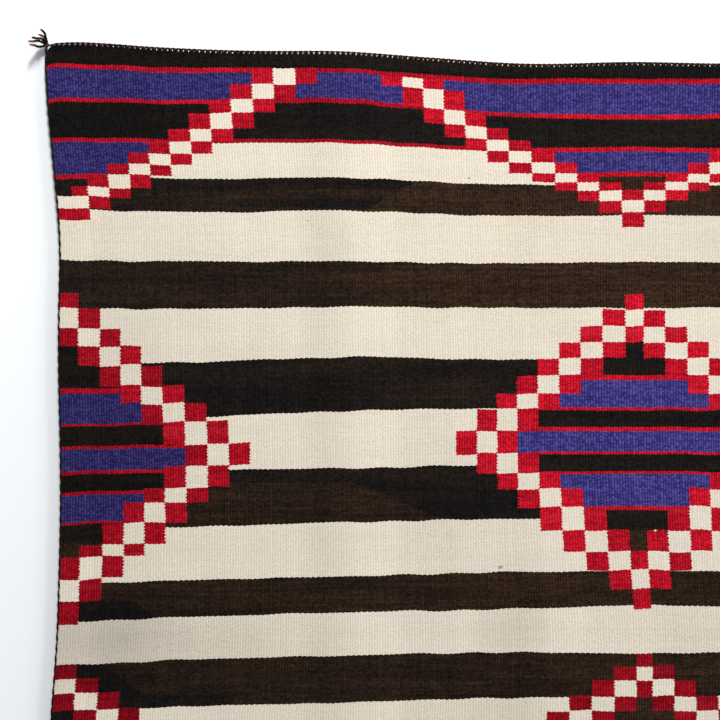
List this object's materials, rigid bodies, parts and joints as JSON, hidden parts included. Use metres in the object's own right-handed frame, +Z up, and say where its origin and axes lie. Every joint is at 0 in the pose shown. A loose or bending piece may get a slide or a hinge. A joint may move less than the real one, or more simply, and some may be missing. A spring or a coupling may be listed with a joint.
{
  "type": "chief blanket",
  "caption": "Wide weft-faced wool blanket laid flat, banded and worked with stepped diamonds, with twisted edge cords and knotted corner tassels.",
  "frame": {"origin": "on the surface the blanket lies on, under the middle of its box", "axes": "+X along the weft, the blanket's long way; +Y along the warp, towards the edge that is at the top of the picture; +Z up through the cloth, out of its face"},
  "size_m": [1.8112, 1.2432, 0.0218],
  "materials": {
    "woven_panel": "thick ribbed wool weave, ivory, black-brown, indigo blue and red",
    "end_cord": "dark brown twisted wool cord",
    "side_cord": "black twisted wool cord",
    "tassel": "black-brown twisted wool cord ends"
  },
  "bodies": {
    "root": {"blanket_panel": "woven_panel", "end_cord_top": "end_cord", "end_cord_bottom": "end_cord", "side_cord_left": "side_cord", "side_cord_right": "side_cord", "tassel_top_left": "tassel", "tassel_top_right": "tassel", "tassel_bottom_left": "tassel", "tassel_bottom_right": "tassel"}
  },
  "joints": []
}
